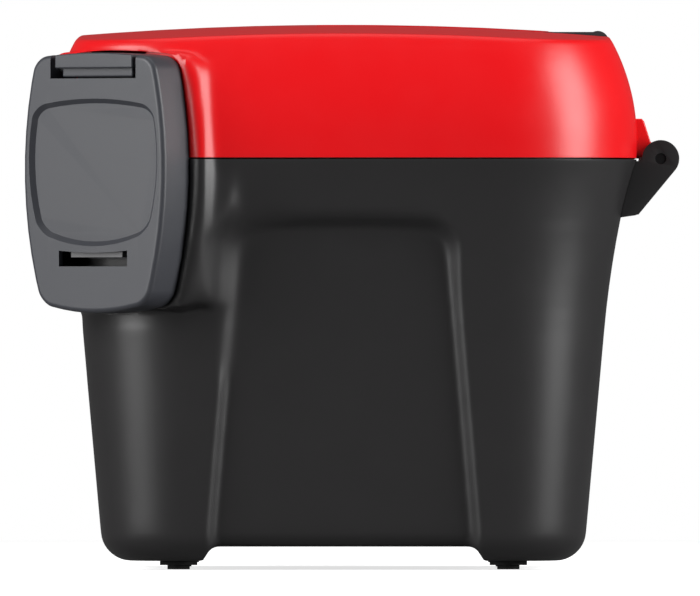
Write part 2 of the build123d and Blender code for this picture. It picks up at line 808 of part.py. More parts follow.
def latch_lever(side):
    skin = latch_outline(latch_plane(side, latch_back))
    extrude(skin, amount=latch_face - latch_back)
    out = latch_frame(side)[1]
    fillet(faces().sort_by(Axis((0, 0, 0), out))[-1].edges(), latch_round)
    # hollow behind the face, solid at the knuckles
    hollow = latch_outline(latch_plane(side, latch_back), -latch_wall, cut_above=solid_top_z)
    extrude(hollow, amount=cavity_face - latch_back, mode=Mode.SUBTRACT)
    # notch for the keeper
    with BuildSketch(latch_section(side)) as notch:
        with BuildLine():
            Polyline(
                (latch_face + 1, notch_z),
                (latch_face, notch_z),
                (cavity_face, notch_back_z),
                (cavity_face, solid_top_z - 1),
                (latch_back - 1, solid_top_z - 1),
                (latch_back - 1, latch_top + 3),
                (latch_face + 1, latch_top + 3),
                close=True,
            )
        make_face()
    extrude(notch.sketch, amount=notch_half, both=True, mode=Mode.SUBTRACT)
    # back of the ears, rounded about the pin
    with BuildSketch(latch_section(side)) as back:
        with Locations((pin_n - 10, pin_z + 10)):
            Rectangle(20, 20)
        with Locations((pin_n, pin_z)):
            Circle(ear_r, mode=Mode.SUBTRACT)
    extrude(back.sketch, amount=2 * latch_half_mid, both=True, mode=Mode.SUBTRACT)
    latch_rod(side, pin_r + running_fit, pin_half + 0.5, mode=Mode.SUBTRACT)
    # blank recess in the face, deeper at its top, and the slot over the hook
    lean = atan((emblem_deep - emblem_shallow) / (emblem_top - emblem_low))
    middle = (emblem_top + emblem_low) / 2
    deep = latch_face - (emblem_deep + emblem_shallow) / 2
    with BuildSketch(latch_plane(side, deep, -degrees(lean), middle)) as emblem:
        with BuildLine():
            high = (emblem_half_top, emblem_top - middle - 2)
            low = (emblem_half_low, emblem_low - middle + 6)
            side_mid = emblem_half_top + 0.9
            ThreePointArc((-high[0], high[1]), (0, emblem_top - middle), high)
            ThreePointArc(high, (side_mid, 5), low)
            ThreePointArc(low, (0, emblem_low - middle), (-low[0], low[1]))
            ThreePointArc((-low[0], low[1]), (-side_mid, 5), (-high[0], high[1]))
        make_face()
        fillet(emblem.vertices(), 5)
    extrude(emblem.sketch, amount=5, mode=Mode.SUBTRACT)
    with BuildSketch(latch_plane(side, latch_face + 1)) as slot:
        with BuildLine():
            ThreePointArc((-slot_half, slot_high + 1), (0, slot_high), (slot_half, slot_high + 1))
            Polyline((slot_half, slot_high + 1), (slot_half, slot_low), (-slot_half, slot_low),
                     (-slot_half, slot_high + 1))
        make_face()
        fillet(slot.vertices(), 0.8)
    extrude(slot.sketch, amount=-latch_skin - 1.5, mode=Mode.SUBTRACT)


def latch_hook(side):
    # tongue that catches under the body's nose
    with BuildSketch(latch_section(side)) as tongue:
        with BuildLine():
            Polyline(
                (cavity_face, hook_low),
                (hook_tip, hook_low),
                (hook_tip, bead_top),
                (hook_tip + bead_t, bead_top),
                (hook_tip + bead_t, hook_high),
                (cavity_face - hook_plate_t, hook_high),
                (cavity_face - hook_plate_t, hook_plate_high),
                (cavity_face, hook_plate_high),
                close=True,
            )
        make_face()
    extrude(tongue.sketch, amount=hook_half, both=True)


with BuildPart() as latch_near:
    latch_lever(-1)
with BuildPart() as latch_far:
    latch_lever(1)
with BuildPart() as hook_near:
    latch_hook(-1)
with BuildPart() as hook_far:
    latch_hook(1)

# carrying handle: two arms joined by a core rod under the grip
with BuildPart() as handle_bail:
    for side in (-1, 1):
        with BuildSketch(side_plane(0, 0, side * arm_y)) as arm:
            with Locations((0, handle_z)):
                Circle(arm_half_h)
            with Locations((grip_x / 2, handle_z)):
                Rectangle(grip_x, 2 * arm_half_h)
            with Locations((grip_x, handle_z)):
                Circle(arm_half_h)
        extrude(arm.sketch, amount=arm_w / 2, both=True)
    with BuildSketch(side_plane(0)) as core:
        with Locations((grip_x, handle_z)):
            Circle(core_r)
    extrude(core.sketch, amount=arm_y, both=True)
    for side in (-1, 1):
        handle_rod(side, handle_pin_r + running_fit, arm_w, mode=Mode.SUBTRACT)

with BuildPart() as handle_grip:
    with BuildSketch(side_plane(0)) as sleeve:
        with Locations((grip_x, handle_z)):
            Circle(grip_r)
            Circle(core_r + fixed_fit, mode=Mode.SUBTRACT)
    extrude(sleeve.sketch, amount=arm_y - arm_w / 2 - part_gap, both=True)

with BuildPart() as handle_pins:
    for side in (-1, 1):
        handle_rod(side, handle_pin_r, handle_pin_half)

made = {
    "bin_body": bin_body,
    "feet": feet,
    "rim_frame": rim_frame,
    "liner_bucket": liner_bucket,
    "bag_ring": bag_ring,
    "hinge_bracket_near": hinge_bracket_near,
    "hinge_bracket_far": hinge_bracket_far,
    "hinge_pin_near": hinge_pin_near,
    "hinge_pin_far": hinge_pin_far,
    "hinge_screws": hinge_screws,
    "catch_near": catch_near,
    "catch_far": catch_far,
    "catch_screws": catch_screws,
    "lid_shell": lid_shell,
    "lid_panel": lid_panel,
    "lid_seal": lid_seal,
    "lid_screws": lid_screws,
    "filter_cartridge": filter_cartridge,
    "filter_grille": filter_grille,
    "keeper_near": keeper_near,
    "keeper_far": keeper_far,
    "keeper_screws": keeper_screws,
    "latch_pin_near": latch_pin_near,
    "latch_pin_far": latch_pin_far,
    "latch_near": latch_near,
    "latch_far": latch_far,
    "hook_near": hook_near,
    "hook_far": hook_far,
    "handle_bail": handle_bail,
    "handle_grip": handle_grip,
    "handle_pins": handle_pins,
}
os.makedirs("parts", exist_ok=True)
for name, piece in made.items():
    piece.part.label = name
    export_step(piece.part, f"parts/{name}.step")
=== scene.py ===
import bpy
import json
from math import atan2, cos, pi, radians, sin, sqrt
from mathutils import Matrix, Vector


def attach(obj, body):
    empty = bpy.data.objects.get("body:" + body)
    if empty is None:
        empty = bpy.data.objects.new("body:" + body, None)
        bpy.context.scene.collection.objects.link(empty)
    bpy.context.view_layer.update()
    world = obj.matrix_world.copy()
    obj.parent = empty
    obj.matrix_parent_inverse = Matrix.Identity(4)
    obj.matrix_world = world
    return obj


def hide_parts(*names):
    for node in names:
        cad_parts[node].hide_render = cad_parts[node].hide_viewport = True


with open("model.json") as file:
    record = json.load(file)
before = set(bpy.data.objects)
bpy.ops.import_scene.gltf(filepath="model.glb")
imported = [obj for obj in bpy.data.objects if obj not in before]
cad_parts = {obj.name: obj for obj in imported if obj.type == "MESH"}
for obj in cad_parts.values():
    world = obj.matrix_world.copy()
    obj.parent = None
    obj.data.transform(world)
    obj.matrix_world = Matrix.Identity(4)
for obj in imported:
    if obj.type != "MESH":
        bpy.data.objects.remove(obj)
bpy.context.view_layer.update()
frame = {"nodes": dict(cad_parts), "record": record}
print("frame loaded")

mm = 0.001
binX = -3.5
cornerAt = 70.4

# materials


def newGroup(name, inputs, outputs):
    tree = bpy.data.node_groups.new(name, "ShaderNodeTree")
    for label, kind, value in inputs:
        socket = tree.interface.new_socket(label, in_out="INPUT", socket_type=kind)
        socket.default_value = value
    for label, kind in outputs:
        tree.interface.new_socket(label, in_out="OUTPUT", socket_type=kind)
    return tree, tree.nodes.new("NodeGroupInput"), tree.nodes.new("NodeGroupOutput")


def mathNode(tree, operation, a, b=0.0, clamp=False):
    node = tree.nodes.new("ShaderNodeMath")
    node.operation = operation
    node.use_clamp = clamp
    for socket, value in zip(node.inputs, (a, b)):
        if isinstance(value, (int, float)):
            socket.default_value = value
        else:
            tree.links.new(value, socket)
    return node.outputs[0]


def mixColour(tree, amount, a, b):
    node = tree.nodes.new("ShaderNodeMix")
    node.data_type = "RGBA"
    for socket, value in ((node.inputs[0], amount), (node.inputs[6], a), (node.inputs[7], b)):
        if isinstance(value, (int, float, tuple, list)):
            socket.default_value = value
        else:
            tree.links.new(value, socket)
    return node.outputs[2]


def noiseNode(tree, place, scale, detail=2.0, rough=0.5):
    node = tree.nodes.new("ShaderNodeTexNoise")
    node.inputs["Detail"].default_value = detail
    node.inputs["Roughness"].default_value = rough
    tree.links.new(place, node.inputs["Vector"])
    if isinstance(scale, (int, float)):
        node.inputs["Scale"].default_value = scale
    else:
        tree.links.new(scale, node.inputs["Scale"])
    return node.outputs["Fac"]


def makeMoulded():
    # moulded plastic: fine spark-eroded grain, slow tone drift, a painted highlight on convex edges mixed
    # with patchy scuffing, and a little dust
    tree, given, out = newGroup("mouldedPlastic", [
        ("Colour", "NodeSocketColor", (0.5, 0.5, 0.5, 1)),
        ("Edge Highlight Colour", "NodeSocketColor", (0.6, 0.6, 0.6, 1)),
        ("Roughness", "NodeSocketFloat", 0.5),
        ("Drift", "NodeSocketFloat", 0.1),
        ("Edge Highlight And Wear", "NodeSocketFloat", 0.2),
        ("Grain Size", "NodeSocketFloat", 1400.0),
        ("Grain Depth", "NodeSocketFloat", 0.1),
    ], [("Colour", "NodeSocketColor"), ("Roughness", "NodeSocketFloat"), ("Normal", "NodeSocketVector")])
    place = tree.nodes.new("ShaderNodeTexCoord").outputs["Object"]
    slow = noiseNode(tree, place, 9.0, 3.0)
    fine = noiseNode(tree, place, given.outputs["Grain Size"], 1.0)
    patch = noiseNode(tree, place, 60.0, 4.0, 0.6)
    geometry = tree.nodes.new("ShaderNodeNewGeometry")
    # painted edge highlight: convex edges found by pointiness are mixed towards a paler colour, broken up in
    # patches like scuffing
    ramp = tree.nodes.new("ShaderNodeMapRange")
    ramp.inputs["From Min"].default_value = 0.53
    ramp.inputs["From Max"].default_value = 0.62
    tree.links.new(geometry.outputs["Pointiness"], ramp.inputs["Value"])
    highlightAndScuff = mathNode(tree, "MULTIPLY", ramp.outputs[0], mathNode(tree, "ADD", patch, 0.2))
    highlightAndWear = mathNode(tree, "MULTIPLY", highlightAndScuff, given.outputs["Edge Highlight And Wear"], clamp=True)
    shift = mathNode(tree, "MULTIPLY", mathNode(tree, "SUBTRACT", slow, 0.5), given.outputs["Drift"])
    lighter = tree.nodes.new("ShaderNodeHueSaturation")
    tree.links.new(given.outputs["Colour"], lighter.inputs["Color"])
    tree.links.new(mathNode(tree, "ADD", shift, 1.0), lighter.inputs["Value"])
    highlightedAndWorn = mixColour(tree, highlightAndWear, lighter.outputs[0], given.outputs["Edge Highlight Colour"])
    tree.links.new(highlightedAndWorn, out.inputs["Colour"])
    rougher = mathNode(tree, "MULTIPLY", mathNode(tree, "SUBTRACT", patch, 0.5), 0.12)
    rougher = mathNode(tree, "ADD", given.outputs["Roughness"], rougher, clamp=True)
    tree.links.new(rougher, out.inputs["Roughness"])
    bump = tree.nodes.new("ShaderNodeBump")
    bump.inputs["Distance"].default_value = 0.0001
    tree.links.new(given.outputs["Grain Depth"], bump.inputs["Strength"])
    tree.links.new(fine, bump.inputs["Height"])
    tree.links.new(bump.outputs[0], out.inputs["Normal"])
    return tree


moulded = makeMoulded()


def plastic(name, colour, edgeHighlight, roughness, drift=0.12, highlightAndWear=0.3, grain=1400.0, depth=0.12, specular=0.5,
            sheen=0.0):
    material = bpy.data.materials.new(name)
    material.use_nodes = True
    tree = material.node_tree
    shader = tree.nodes["Principled BSDF"]
    group = tree.nodes.new("ShaderNodeGroup")
    group.node_tree = moulded
    group.inputs["Colour"].default_value = (*colour, 1)
    group.inputs["Edge Highlight Colour"].default_value = (*edgeHighlight, 1)
    given = {"Roughness": roughness, "Drift": drift, "Edge Highlight And Wear": highlightAndWear}
    given.update({"Grain Size": grain, "Grain Depth": depth})
    for label, value in given.items():
        group.inputs[label].default_value = value
    for label, socket in (("Colour", "Base Color"), ("Roughness", "Roughness"), ("Normal", "Normal")):
        tree.links.new(group.outputs[label], shader.inputs[socket])
    shader.inputs["Specular IOR Level"].default_value = specular
    shader.inputs["Sheen Weight"].default_value = sheen
    return material


def metal(name, colour, roughness):
    material = bpy.data.materials.new(name)
    material.use_nodes = True
    tree = material.node_tree
    shader = tree.nodes["Principled BSDF"]
    place = tree.nodes.new("ShaderNodeTexCoord").outputs["Object"]
    mapping = tree.nodes.new("ShaderNodeMapping")
    mapping.inputs["Scale"].default_value = (1.0, 1.0, 12.0)
    tree.links.new(place, mapping.inputs["Vector"])
    streaks = noiseNode(tree, mapping.outputs[0], 300.0, 3.0)
    spots = noiseNode(tree, place, 90.0, 4.0)
    shader.inputs["Metallic"].default_value = 1.0
    dull = tuple(c * 0.72 for c in colour)
    tree.links.new(mixColour(tree, spots, (*colour, 1), (*dull, 1)), shader.inputs["Base Color"])
    rough = mathNode(tree, "ADD", mathNode(tree, "MULTIPLY", streaks, 0.2), roughness)
    tree.links.new(rough, shader.inputs["Roughness"])
    bump = tree.nodes.new("ShaderNodeBump")
    bump.inputs["Strength"].default_value = 0.15
    bump.inputs["Distance"].default_value = 0.00005
    tree.links.new(streaks, bump.inputs["Height"])
    tree.links.new(bump.outputs[0], shader.inputs["Normal"])
    return material


# the edge colours are painted edge highlights, paler than each base colour, mixed with patchy scuffing
finishes = {
    "body_black": plastic("bodyBlack", (0.0172, 0.0166, 0.0172), (0.045, 0.045, 0.047), 0.36, highlightAndWear=0.25),
    "lid_red": plastic("lidRed", (0.72, 0.0022, 0.0052), (0.78, 0.06, 0.07), 0.34, drift=0.05, highlightAndWear=0.2,
                       depth=0.04),
    "latch_grey": plastic("latchGrey", (0.038, 0.040, 0.048), (0.07, 0.07, 0.075), 0.44, highlightAndWear=0.3),
    "hook_grey": plastic("hookGrey", (0.05, 0.05, 0.053), (0.25, 0.25, 0.26), 0.4),
    "liner_grey": plastic("linerGrey", (0.22, 0.23, 0.24), (0.3, 0.31, 0.32), 0.45, grain=900.0),
    "ring_grey": plastic("ringGrey", (0.08, 0.08, 0.085), (0.15, 0.15, 0.155), 0.45),
    "panel_grey": plastic("panelGrey", (0.045, 0.045, 0.05), (0.1, 0.1, 0.105), 0.5),
    "handle_black": plastic("handleBlack", (0.022, 0.022, 0.023), (0.07, 0.07, 0.07), 0.42),
    "rubber": plastic("footRubber", (0.018, 0.018, 0.018), (0.05, 0.05, 0.05), 0.75, grain=2200.0, depth=0.25,
                      specular=0.3, sheen=0.1),
    "charcoal": plastic("carbonFelt", (0.012, 0.012, 0.012), (0.03, 0.03, 0.03), 0.95, grain=500.0, depth=0.9,
                        specular=0.1, sheen=0.3),
    "steel": metal("zincSteel", (0.6, 0.6, 0.61), 0.28),
}
pinBlack = metal("blackenedPin", (0.03, 0.03, 0.031), 0.4)
slotOf = {entry["node"]: entry["material_slot"] for entry in frame["record"]["subparts"]}
for node, piece in frame["nodes"].items():
    piece.data.materials.clear()
    piece.data.materials.append(pinBlack if node.startswith("hinge_pin") else finishes[slotOf[node]])
print("materials ready")

# helpers for shaping


def only(*pieces):
    if bpy.context.object and bpy.context.object.mode != "OBJECT":
        bpy.ops.object.mode_set(mode="OBJECT")
    bpy.ops.object.select_all(action="DESELECT")
    for piece in pieces:
        piece.select_set(True)
    bpy.context.view_layer.objects.active = pieces[0]
    return pieces[0]


def shaped(piece, kind, **values):
    # adds a modifier and applies it at once
    only(piece)
    modifier = piece.modifiers.new(kind.lower(), kind)
    for name, value in values.items():
        setattr(modifier, name, value)
    bpy.ops.object.modifier_apply(modifier=modifier.name)
    return piece


def bevelled(piece, width, segments, angle):
    # rounds the edges that turn by more than the angle
    return shaped(piece, "BEVEL", width=width * mm, segments=segments, limit_method="ANGLE",
                  angle_limit=radians(angle))


def pick(piece, wanted, kind="FACE"):
    # enters edit mode with only the wanted faces or vertices selected
    only(piece)
    mesh = piece.data
    for part in (mesh.vertices, mesh.edges, mesh.polygons):
        part.foreach_set("select", [False] * len(part))
    bpy.context.tool_settings.mesh_select_mode = (kind == "VERT", False, kind == "FACE")
    for item in mesh.polygons if kind == "FACE" else mesh.vertices:
        item.select = wanted(item)
        if kind == "FACE" and item.select:
            for index in item.vertices:
                mesh.vertices[index].select = True
    bpy.ops.object.mode_set(mode="EDIT")


def merged(piece, gap=0.00002, turn=True):
    only(piece)
    bpy.ops.object.mode_set(mode="EDIT")
    bpy.ops.mesh.select_all(action="SELECT")
    bpy.ops.mesh.remove_doubles(threshold=gap)
    if turn:
        bpy.ops.mesh.normals_make_consistent(inside=False)
    bpy.ops.object.mode_set(mode="OBJECT")
    return piece


def duplicate(piece, name):
    copy = piece.copy()
    copy.data = piece.data.copy()
    copy.name = name
    copy.data.name = name
    copy.parent = None
    for key in [k for k in copy.keys() if k.startswith("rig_")]:
        del copy[key]
    bpy.context.collection.objects.link(copy)
    return copy


def nodeCopy(node, name):
    copy = duplicate(frame["nodes"][node], name)
    copy.matrix_world = frame["nodes"][node].matrix_world
    merged(copy, turn=False)
    return copy


def cutAt(piece, height, keepBelow):
    only(piece)
    bpy.ops.object.mode_set(mode="EDIT")
    bpy.ops.mesh.select_all(action="SELECT")
    bpy.ops.mesh.bisect(plane_co=(0, 0, height * mm), plane_no=(0, 0, 1), clear_outer=keepBelow,
                        clear_inner=not keepBelow, use_fill=True)
    bpy.ops.object.mode_set(mode="OBJECT")
    return piece


def block(name, x, y, z):
    # x counts from the bin's centre
    bpy.ops.object.select_all(action="DESELECT")
    middle = (binX + (x[0] + x[1]) / 2, (y[0] + y[1]) / 2, (z[0] + z[1]) / 2)
    bpy.ops.mesh.primitive_cube_add(size=1, location=[v * mm for v in middle])
    piece = bpy.context.object
    piece.name = name
    piece.scale = ((x[1] - x[0]) * mm, (y[1] - y[0]) * mm, (z[1] - z[0]) * mm)
    bpy.ops.object.transform_apply(location=True, rotation=True, scale=True)
    return piece


def combine(piece, tool, operation, solver="EXACT"):
    shaped(piece, "BOOLEAN", object=tool, operation=operation, solver=solver)
    bpy.data.objects.remove(tool)
    return piece


def finish(piece, body, slot, *nodes, angle):
    only(piece)
    bpy.ops.object.transform_apply(location=True, rotation=True, scale=True)
    bpy.ops.object.shade_smooth_by_angle(angle=radians(angle))
    piece.data.materials.clear()
    piece.data.materials.append(finishes[slot])
    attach(piece, body)
    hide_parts(*nodes)
    return piece


def drawn(name, start, moves):
    # a chain of edges drawn out from one point
    bpy.ops.object.select_all(action="DESELECT")
    bpy.ops.mesh.primitive_plane_add(size=0.001, location=[v * mm for v in start])
    piece = bpy.context.object
    piece.name = name
    bpy.ops.object.transform_apply(location=True, rotation=True, scale=True)
    bpy.ops.object.mode_set(mode="EDIT")
    bpy.ops.mesh.select_mode(type="VERT")
    bpy.ops.mesh.select_all(action="SELECT")
    bpy.ops.mesh.merge(type="CENTER")
    for move in moves:
        bpy.ops.mesh.extrude_vertices_move(TRANSFORM_OT_translate={"value": [v * mm for v in move]})
    bpy.ops.mesh.select_all(action="SELECT")
    return piece


def drag(x, y, z):
    bpy.ops.mesh.extrude_region_move(TRANSFORM_OT_translate={"value": (x * mm, y * mm, z * mm)})


# latch outlines: across, reach and height, then turned onto the corner

latch = dict(
    turn=40.0, back=46.5, face=64.35, pad=45.6, gap=0.9, halfTop=34.6, sideTop=228.8, top=231.1,
    halfMid=41.3, midZ=177.0, halfLow=31.5, sideLow=118.9, low=114.65, corner=6.0, wall=2.4, skin=2.6,
    pinN=56.8, pinZ=224.3, bossFace=46.9, bossSide=7.6, bossTop=1.6, bossLow=1.5, bossRoot=25.0,
    bossCorner=9.0, pocketCorner=6.9, pocketEnd=90.0,
)


def arcThrough(a, b, c, count):
    # points on the circle through three, from a towards c, leaving c out
    d = 2 * (a[0] * (b[1] - c[1]) + b[0] * (c[1] - a[1]) + c[0] * (a[1] - b[1]))
    squares = [p[0] ** 2 + p[1] ** 2 for p in (a, b, c)]
    x = (squares[0] * (b[1] - c[1]) + squares[1] * (c[1] - a[1]) + squares[2] * (a[1] - b[1])) / d
    z = (squares[0] * (c[0] - b[0]) + squares[1] * (a[0] - c[0]) + squares[2] * (b[0] - a[0])) / d
    r = sqrt((a[0] - x) ** 2 + (a[1] - z) ** 2)
    first = atan2(a[1] - z, a[0] - x)
    sweep = (atan2(c[1] - z, c[0] - x) - first + pi) % (2 * pi) - pi
    turns = [first + sweep * k / count for k in range(count)]
    return [(x + r * cos(turn), z + r * sin(turn)) for turn in turns]


def shieldOutline(halfTop, sideTop, top, halfMid, midZ, halfLow, sideLow, low, count=10):
    points = arcThrough((-halfTop, sideTop), (0, top), (halfTop, sideTop), count)
    points += arcThrough((halfTop, sideTop), (halfMid, midZ), (halfLow, sideLow), count)
    points += arcThrough((halfLow, sideLow), (0, low), (-halfLow, sideLow), count)
    return points + arcThrough((-halfLow, sideLow), (-halfMid, midZ), (-halfTop, sideTop), count)


def latchOutline(grow=0.0, growTop=None, growLow=None):
    up = grow if growTop is None else growTop
    down = grow if growLow is None else growLow
    return shieldOutline(latch["halfTop"] + grow, latch["sideTop"] + up, latch["top"] + up,
                         latch["halfMid"] + grow, latch["midZ"],
                         latch["halfLow"] + grow, latch["sideLow"] - down, latch["low"] - down)


def prism(name, outline, nearN, farN, cornersTop=0.0, cornersLow=0.0, count=10):
    # an outline in the latch's own plane, with its corners rounded, drawn out from one reach to another
    moves = [(x1 - x0, 0, z1 - z0) for (x0, z0), (x1, z1) in zip(outline, outline[1:])]
    piece = drawn(name, (outline[0][0], -nearN, outline[0][1]), moves)
    bpy.ops.mesh.edge_face_add()
    for corners, size in (((0, count), cornersTop), ((2 * count, 3 * count), cornersLow)):
        if size:
            bpy.ops.object.mode_set(mode="OBJECT")
            spots = [outline[k] for k in corners]
            pick(piece, lambda v: any(abs(v.co.x / mm - x) + abs(v.co.z / mm - z) < 0.02 for x, z in spots),
                 "VERT")
            bpy.ops.mesh.bevel(offset=size * mm, segments=8, affect="VERTICES")
    bpy.ops.mesh.select_all(action="SELECT")
    drag(0, -(farN - nearN), 0)
    bpy.ops.mesh.select_all(action="SELECT")
    bpy.ops.mesh.normals_make_consistent(inside=False)
    bpy.ops.object.mode_set(mode="OBJECT")
    return piece


def ontoCorner(piece, side):
    # from the latch's own plane to its corner of the bin
    turn = radians(-latch["turn"] if side < 0 else 180 + latch["turn"])
    piece.rotation_euler = (0, 0, turn)
    piece.location = ((binX - cornerAt) * mm, side * cornerAt * mm, 0)
    only(piece)
    bpy.ops.object.transform_apply(location=True, rotation=True, scale=True)
    return piece


# one skin over the whole bin, split at the seam into body and lid

skin = dict(
    bodyTop=183.4, lidLow=184.1, seam=183.8, wall=2.6,
    baseZ=3.8, coreR=23.6, bendR=13.5, bendZ=17.3, bendTurn=85, lowR=37.1, lean=0.09,
    flareZ=107.0, flareR=46.4, flareOut=14.6, flareHigh=77.0, flarePower=1.6,
    rimR=61.0, arcLow=192.5, arcR=92.08, arcHigh=241.5, over=260.0, top=244.3, crownR=1475.0,
    cornerTurns=34, press=22.0, wayZ=100.0, wayR=28.0, wayTop=203.0, soften=3, blendSoften=26, hollowSoften=4,
)
under = dict(low=85.0, high=122.0, reach=5.0, half=75.0, level=116.5, flatHalf=30.0, rise=0.06, power=1.3)
flank = dict(
    reach=8.0, deep=14.0, half=90.0, low=85.0, lowFull=92.0, high=236.0, fadeOut=8.0, start=4.5, full=9.0,
    bulgeLow=0.0026, bulgeHigh=0.0021,
)


def spread(start, end, step):
    count = max(1, round(abs(end - start) / step))
    return [start + (end - start) * n / count for n in range(1, count + 1)]


def skinProfile():
    # from the axis of a corner at the bottom, out and up, to the same axis at the top
    core, bend = skin["coreR"], skin["bendR"]
    rows = [(r, skin["baseZ"]) for r in [0.0] + spread(0, core, 2.9)]
    turns = spread(0, radians(skin["bendTurn"]), radians(7.1))
    rows += [(core + bend * sin(a), skin["bendZ"] - bend * cos(a)) for a in turns]
    heights = spread(18.5, skin["flareZ"], 3.0) + spread(skin["flareZ"], 121, 1.1) + spread(121, 146, 3.0)
    heights += spread(146, 158, 1.15) + spread(158, 181.5, 2.4)
    heights += [182.4, 183.1, 184.4, 185.2]  # close rows on both sides of the seam
    for z in heights:
        if z < skin["flareZ"]:
            rows.append((skin["lowR"] + skin["lean"] * (z - skin["baseZ"]), z))
        else:
            rise = min(1, (z - skin["flareZ"]) / skin["flareHigh"]) ** skin["flarePower"]
            rows.append((skin["flareR"] + skin["flareOut"] * rise, z))
    rows += [(skin["rimR"], z) for z in spread(185.2, skin["arcLow"], 2.4)]
    for z in spread(skin["arcLow"], 226, 2.3) + spread(226, skin["arcHigh"], 0.9):
        rows.append((skin["rimR"] - skin["arcR"] + sqrt(skin["arcR"] ** 2 - (z - skin["arcLow"]) ** 2), z))
    last = rows[-1][0]
    rows += [(r, skin["over"]) for r in spread(last, last - 5, 0.9) + spread(last - 5, 0, 2.6)]
    return rows


def coreField(height, steps):
    # the flat field between the corner centres
    piece = drawn("coreField", (binX - cornerAt, -cornerAt, height), [(step, 0, 0) for step in steps])
    for step in steps:
        drag(0, step, 0)
    bpy.ops.object.mode_set(mode="OBJECT")
    return piece


def skinGrid():
    rows = skinProfile()
    across = spread(0, 43, 3.3) + spread(43, 64, 1.3) + spread(64, cornerAt, 3.2)
    places = [-v for v in reversed(across)] + [0.0] + across
    steps = [b - a for a, b in zip(places, places[1:])]
    moves = [(r1 - r0, 0, z1 - z0) for (r0, z0), (r1, z1) in zip(rows, rows[1:])]
    piece = drawn("binForm", (binX + cornerAt + rows[0][0], cornerAt, rows[0][1]), moves)
    middle = ((binX + cornerAt) * mm, cornerAt * mm, 0)
    bpy.ops.mesh.spin(steps=skin["cornerTurns"], angle=pi / 2, center=middle, axis=(0, 0, -1))
    for step in steps:
        drag(-step, 0, 0)
    bpy.ops.mesh.select_all(action="SELECT")
    bpy.ops.mesh.spin(steps=3, dupli=True, angle=1.5 * pi, center=(binX * mm, 0, 0), axis=(0, 0, -1))
    bpy.ops.object.mode_set(mode="OBJECT")
    cores = [coreField(height, steps) for height in (rows[0][1], rows[-1][1])]
    only(piece, *cores)
    bpy.ops.object.join()
    return merged(piece, 0.00005)


def plan(x, y):
    # how far out of the core rectangle a place is, and which way
    out = Vector((x - max(binX - cornerAt, min(binX + cornerAt, x)), y - max(-cornerAt, min(cornerAt, y)), 0))
    r = out.length
    return r, (out / r if r > 0.01 else Vector((0, 0, 0)))


def crown(x, y):
    return skin["top"] - skin["crownR"] + sqrt(skin["crownR"] ** 2 - (x - binX) ** 2 - y ** 2)


def leftAlone(x, y, z):
    # the handle's channel, the hinge lugs and the foot holes keep the plain form
    x -= binX
    if z > 212:
        slots = x > -16 and 37 < abs(y) < 59
        return slots or (x > 86 and abs(y) < 59)
    if 184 < z:
        return x > 100 and 54 < abs(y) < 74
    return z < 5 and abs(abs(x) - 73.8) < 6 and abs(abs(y) - 73.8) < 6


def cornerFrame(side):
    turn = radians(latch["turn"])
    out = Vector((-sin(turn), side * cos(turn), 0))
    return Vector((binX - cornerAt, side * cornerAt, 0)), out, Vector((0, 0, 1)).cross(out)


def underLatch(x, y, z):
    # below the latches nothing stands proud of the plain form
    for side in (-1, 1):
        pivot, out, across = cornerFrame(side)
        gap = Vector((x, y, z)) - pivot
        n, u = gap.dot(out), abs(gap.dot(across))
        level = under["level"] + under["rise"] * max(0, u - under["flatHalf"]) ** under["power"]
        if n > under["reach"] and u < under["half"] and z < level:
            return True
    return False


def pressForm(piece, below, above, bosses):
    # lays the form on the CAD walls and the latch bosses, from outside inwards
    press = skin["press"] * mm
    for v in piece.data.vertices:
        x, y, z = v.co / mm
        z = min(z, crown(x, y))
        v.co.z = z * mm
        if leftAlone(x, y, z):
            continue
        plain = under["low"] < z < under["high"] and underLatch(x, y, z)
        r, out = plan(x, y)
        if z < skin["wayZ"]:
            way = out * max(r - skin["coreR"], 0) + Vector((0, 0, min(z - skin["bendZ"], 0)))
        else:
            way = out * max(r - skin["wayR"], 0) + Vector((0, 0, max(z - skin["wayTop"], 0)))
        way.normalize()
        target = below if z < skin["seam"] else above
        start = v.co + way * press
        hits = []
        for shape in (target, *bosses):
            hit, place, normal, face = shape.ray_cast(start, -way, distance=2.0 * press)
            if hit:
                hits.append(((place - start).length, place))
        if hits and not (plain and min(hits)[0] < press):
            v.co = min(hits)[1]


def fade(value, low, high):
    return max(0.0, min(1.0, (value - low) / (high - low)))


def blendGroup(piece):
    # the flanks round the latches run softly into the walls
    group = piece.vertex_groups.new(name="flank")
    frames = [cornerFrame(side) for side in (-1, 1)]
    for v in piece.data.vertices:
        spot = v.co / mm
        for pivot, out, across in frames:
            gap = spot - pivot
            n = gap.dot(out)
            u = abs(gap.dot(across))
            if n < flank["reach"] or u > flank["half"] or spot.z < flank["low"] or spot.z > flank["high"]:
                continue
            bulge = flank["bulgeLow"] if spot.z < latch["midZ"] else flank["bulgeHigh"]
            half = latch["halfMid"] - bulge * (spot.z - latch["midZ"]) ** 2
            beside = fade(u, half + flank["start"], half + flank["full"])
            beside *= fade(flank["half"] - u, 0, flank["fadeOut"])
            deep = fade(n, flank["reach"], flank["deep"])
            foot = fade(spot.z, flank["low"], flank["lowFull"])
            amount = beside * deep * foot * fade(flank["high"] - spot.z, 0, flank["fadeOut"])
            if amount > 0:
                group.add([v.index], amount, "REPLACE")


def latchPocket(side):
    outline = latchOutline(latch["gap"])
    corner = latch["pocketCorner"]
    return ontoCorner(prism("latchPocket", outline, latch["pad"], latch["pocketEnd"], corner, corner), side)


def latchBoss(side):
    outline = latchOutline(latch["bossSide"], latch["bossTop"], latch["bossLow"])
    corner = latch["bossCorner"]
    return ontoCorner(prism("latchBoss", outline, latch["bossRoot"], latch["bossFace"], corner, corner), side)


